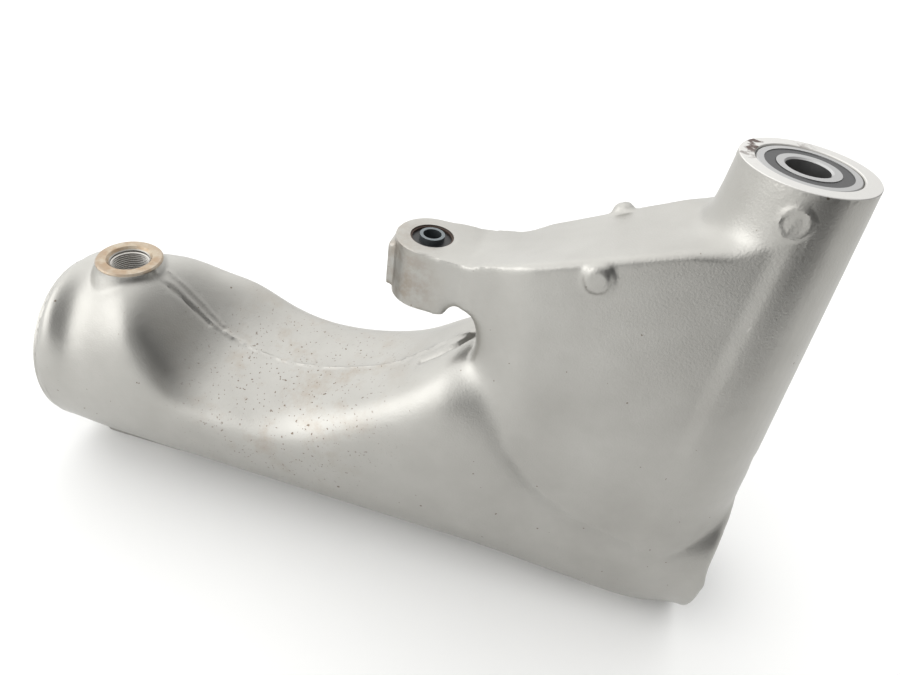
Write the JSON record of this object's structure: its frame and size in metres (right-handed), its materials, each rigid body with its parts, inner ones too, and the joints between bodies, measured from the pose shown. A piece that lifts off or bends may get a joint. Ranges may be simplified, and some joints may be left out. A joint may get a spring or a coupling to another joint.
{
  "type": "motorcycle swingarm",
  "caption": "Hollow cast alloy single-sided swingarm for shaft drive, with a bearing at each end of its front pivot, a threaded rear pivot boss and a bushed shock absorber lug",
  "frame": {"origin": "on the front pivot axis, at the face of the right pivot boss that the arm lies on", "axes": "+X points forward, from the rear pivot to the front pivot; +Z runs along both pivot axes to the left side of the vehicle; +Y points down on the vehicle, square to both"},
  "size_m": [0.457, 0.1102, 0.305],
  "materials": {
    "cast_alloy": "satin silver paint over cast aluminium",
    "bearing_steel": "ground",
    "cage_steel": "pressed",
    "seal_rubber": "matt",
    "rusty_steel": "rust stained",
    "bush_rubber": "matt",
    "sleeve_steel": "plated"
  },
  "bodies": {
    "arm": {"swingarm_casting": "cast_alloy", "left_bearing_outer_race": "bearing_steel", "left_bearing_upper_seal": "seal_rubber", "left_bearing_lower_seal": "seal_rubber", "right_bearing_outer_race": "bearing_steel", "right_bearing_upper_seal": "seal_rubber", "right_bearing_lower_seal": "seal_rubber", "shock_bush_shell": "rusty_steel", "shock_bush_rubber": "bush_rubber", "shock_bush_sleeve": "sleeve_steel"},
    "left_inner": {"left_bearing_inner_race": "bearing_steel"},
    "left_balls": {"left_bearing_balls": "bearing_steel", "left_bearing_cage": "cage_steel"},
    "right_inner": {"right_bearing_inner_race": "bearing_steel"},
    "right_balls": {"right_bearing_balls": "bearing_steel", "right_bearing_cage": "cage_steel"}
  },
  "joints": [
    {"name": "left_inner_spin", "type": "hinge", "parent": "arm", "child": "left_inner", "pos_m": [0, 0, 0.2975], "axis": [0, 0, 1], "continuous": true},
    {"name": "left_balls_spin", "type": "hinge", "parent": "arm", "child": "left_balls", "pos_m": [0, 0, 0.2975], "axis": [0, 0, 1], "continuous": true},
    {"name": "right_inner_spin", "type": "hinge", "parent": "arm", "child": "right_inner", "pos_m": [0, 0, 0.0075], "axis": [0, 0, 1], "continuous": true},
    {"name": "right_balls_spin", "type": "hinge", "parent": "arm", "child": "right_balls", "pos_m": [0, 0, 0.0075], "axis": [0, 0, 1], "continuous": true}
  ],
  "couplings": [
    {"joint": "left_balls_spin", "follows": "left_inner_spin", "ratio": 0.3815},
    {"joint": "right_balls_spin", "follows": "right_inner_spin", "ratio": 0.3815}
  ]
}
